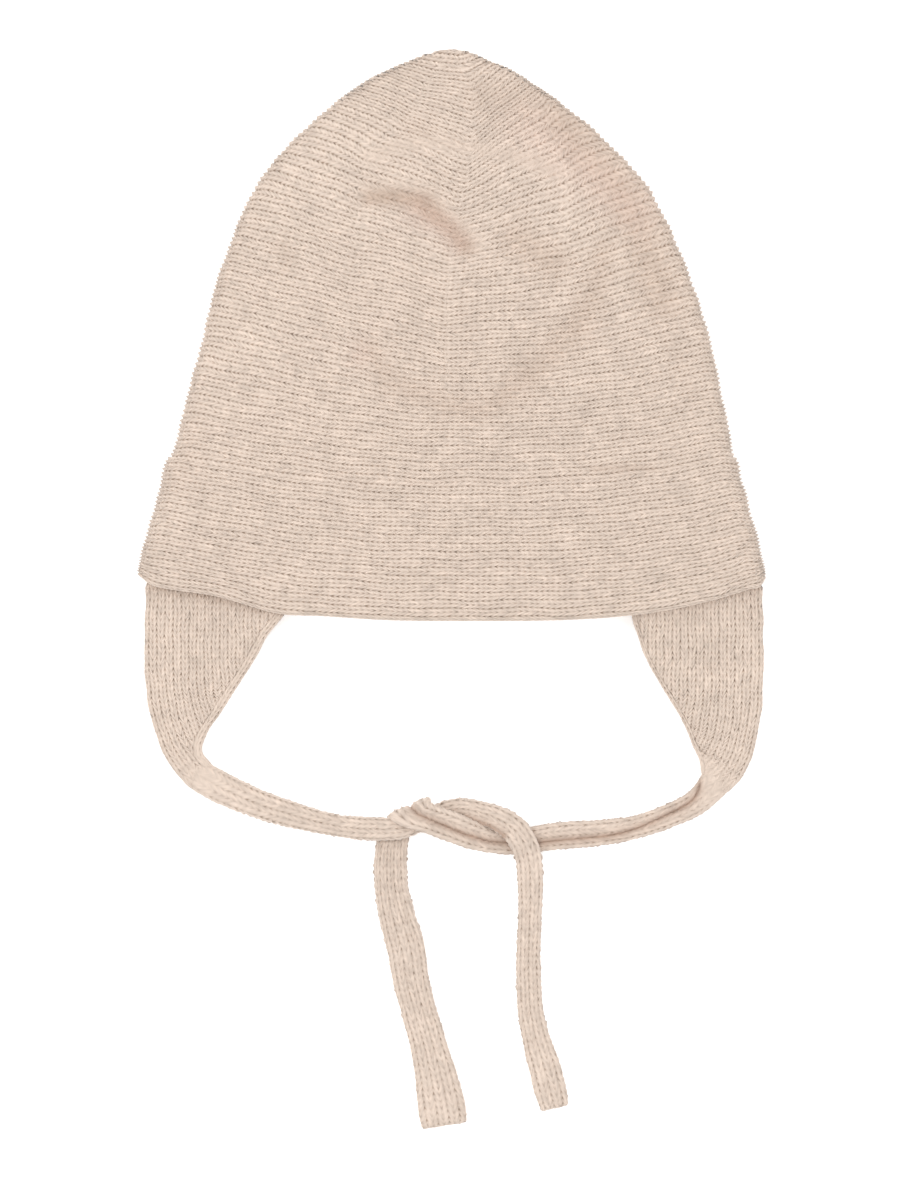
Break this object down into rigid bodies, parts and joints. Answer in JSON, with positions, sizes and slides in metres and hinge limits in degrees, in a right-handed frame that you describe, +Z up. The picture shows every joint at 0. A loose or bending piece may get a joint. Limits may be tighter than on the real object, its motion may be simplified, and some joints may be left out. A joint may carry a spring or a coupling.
{
  "type": "baby bonnet",
  "caption": "Fine-knit baby bonnet in pale beige with a round gored crown, a doubled brim band, two folded earflaps and two ties in a half knot, lying flat.",
  "frame": {"origin": "on the surface that the bonnet lies on, below the middle of its box", "axes": "+Y from the ties' ends up to the crown's tip, +Z up from the surface to the front of the bonnet"},
  "size_m": [0.196, 0.3382, 0.0241],
  "materials": {
    "fine_knit": "matte"
  },
  "bodies": {
    "root": {"crown": "fine_knit", "brim_band": "fine_knit", "earflap_left": "fine_knit", "earflap_right": "fine_knit", "tie_left": "fine_knit", "tie_right": "fine_knit"}
  },
  "joints": []
}
